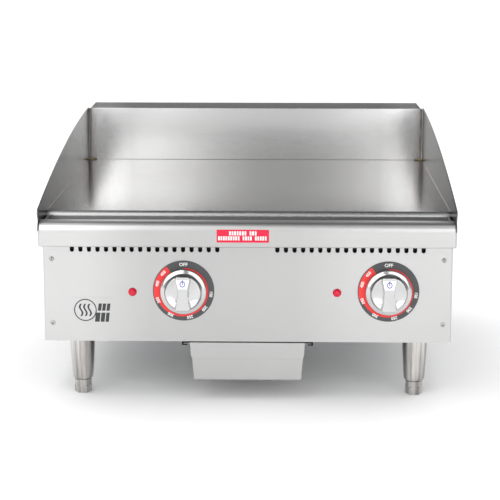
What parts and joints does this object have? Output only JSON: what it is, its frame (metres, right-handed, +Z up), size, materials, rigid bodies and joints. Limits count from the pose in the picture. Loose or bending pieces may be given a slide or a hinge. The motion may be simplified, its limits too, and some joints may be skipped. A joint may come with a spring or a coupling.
{
  "type": "flat top griddle",
  "caption": "Countertop electric flat top griddle with splash guards, front grease trough and pull-out drawer, turning thermostat knobs and height-adjustable legs.",
  "frame": {"origin": "middle of the griddle's footprint at counter level, under the feet", "axes": "+X to the cook's right, +Y to the back, +Z up; the knobs face -Y"},
  "size_m": [0.6096, 0.6548, 0.3871],
  "materials": {
    "badge_grey": "dark enamel plate",
    "black_plastic": "moulded",
    "cabinet_steel": "fine brushed, horizontal grain",
    "capillary_copper": "drawn copper",
    "caution_red": "printed label",
    "chrome": "bright plated",
    "dark_steel": "dark oxide",
    "dial_print": "printed ring, red scale",
    "galvanised": "dull galvanised sheet",
    "leg_alloy": "polished casting",
    "mineral_wool": "compressed fibre blanket",
    "polished_plate": "ground and polished, with a faint heat tint",
    "red_lens": "clear red dome",
    "screw_steel": "plain steel",
    "splash_steel": "fine brushed",
    "wire_sleeve": "woven glass sleeve"
  },
  "bodies": {
    "cabinet": {"griddle_plate": "polished_plate", "splash_left": "splash_steel", "splash_right": "splash_steel", "splash_rear": "splash_steel", "grease_trough": "cabinet_steel", "grease_chute": "cabinet_steel", "front_rail": "cabinet_steel", "control_panel": "cabinet_steel", "side_panel_left": "cabinet_steel", "side_panel_right": "cabinet_steel", "rear_panel": "galvanised", "bottom_pan": "galvanised", "crossmember_front": "galvanised", "crossmember_rear": "galvanised", "drawer_rail_left": "dark_steel", "drawer_rail_right": "dark_steel", "heating_element_left": "dark_steel", "heating_element_right": "dark_steel", "sensing_bulb_left": "capillary_copper", "sensing_bulb_right": "capillary_copper", "element_clamp_front": "galvanised", "element_clamp_rear": "galvanised", "heat_shield": "galvanised", "insulation_blanket": "mineral_wool", "thermostat_left": "black_plastic", "thermostat_right": "black_plastic", "dial_plate_left": "dial_print", "dial_plate_right": "dial_print", "pilot_lens_left": "red_lens", "pilot_lens_right": "red_lens", "pilot_lamp_left": "black_plastic", "pilot_lamp_right": "black_plastic", "supply_wire_left": "wire_sleeve", "supply_wire_right": "wire_sleeve", "terminal_block": "black_plastic", "inlet_bushing": "black_plastic", "caution_plate": "caution_red", "badge_plate": "badge_grey", "panel_screw_top_left": "screw_steel", "panel_screw_top_right": "screw_steel", "panel_screw_bottom_left": "screw_steel", "panel_screw_bottom_right": "screw_steel", "rear_screw_top_left": "screw_steel", "rear_screw_top_right": "screw_steel", "rear_screw_bottom_left": "screw_steel", "rear_screw_bottom_right": "screw_steel", "leg_front_left": "leg_alloy", "leg_front_right": "leg_alloy", "leg_rear_left": "leg_alloy", "leg_rear_right": "leg_alloy"},
    "knob_left": {"knob_left": "chrome", "thermostat_shaft_left": "screw_steel"},
    "knob_right": {"knob_right": "chrome", "thermostat_shaft_right": "screw_steel"},
    "grease_drawer": {"grease_drawer": "cabinet_steel"},
    "foot_front_left": {"foot_front_left": "leg_alloy"},
    "foot_front_right": {"foot_front_right": "leg_alloy"},
    "foot_rear_left": {"foot_rear_left": "leg_alloy"},
    "foot_rear_right": {"foot_rear_right": "leg_alloy"}
  },
  "joints": [
    {"name": "knob_left_turn", "type": "hinge", "parent": "cabinet", "child": "knob_left", "pos_m": [-0.0949, -0.2836, 0.1713], "axis": [0, 1, 0], "range_deg": [0, 311]},
    {"name": "knob_right_turn", "type": "hinge", "parent": "cabinet", "child": "knob_right", "pos_m": [0.2095, -0.2836, 0.1713], "axis": [0, 1, 0], "range_deg": [0, 311]},
    {"name": "drawer_slide", "type": "slide", "parent": "cabinet", "child": "grease_drawer", "axis": [0, -1, 0], "range_m": [0, 0.28]},
    {"name": "foot_front_left_screw", "type": "slide", "parent": "cabinet", "child": "foot_front_left", "axis": [0, 0, -1], "range_m": [0, 0.025]},
    {"name": "foot_front_right_screw", "type": "slide", "parent": "cabinet", "child": "foot_front_right", "axis": [0, 0, -1], "range_m": [0, 0.025]},
    {"name": "foot_rear_left_screw", "type": "slide", "parent": "cabinet", "child": "foot_rear_left", "axis": [0, 0, -1], "range_m": [0, 0.025]},
    {"name": "foot_rear_right_screw", "type": "slide", "parent": "cabinet", "child": "foot_rear_right", "axis": [0, 0, -1], "range_m": [0, 0.025]}
  ]
}
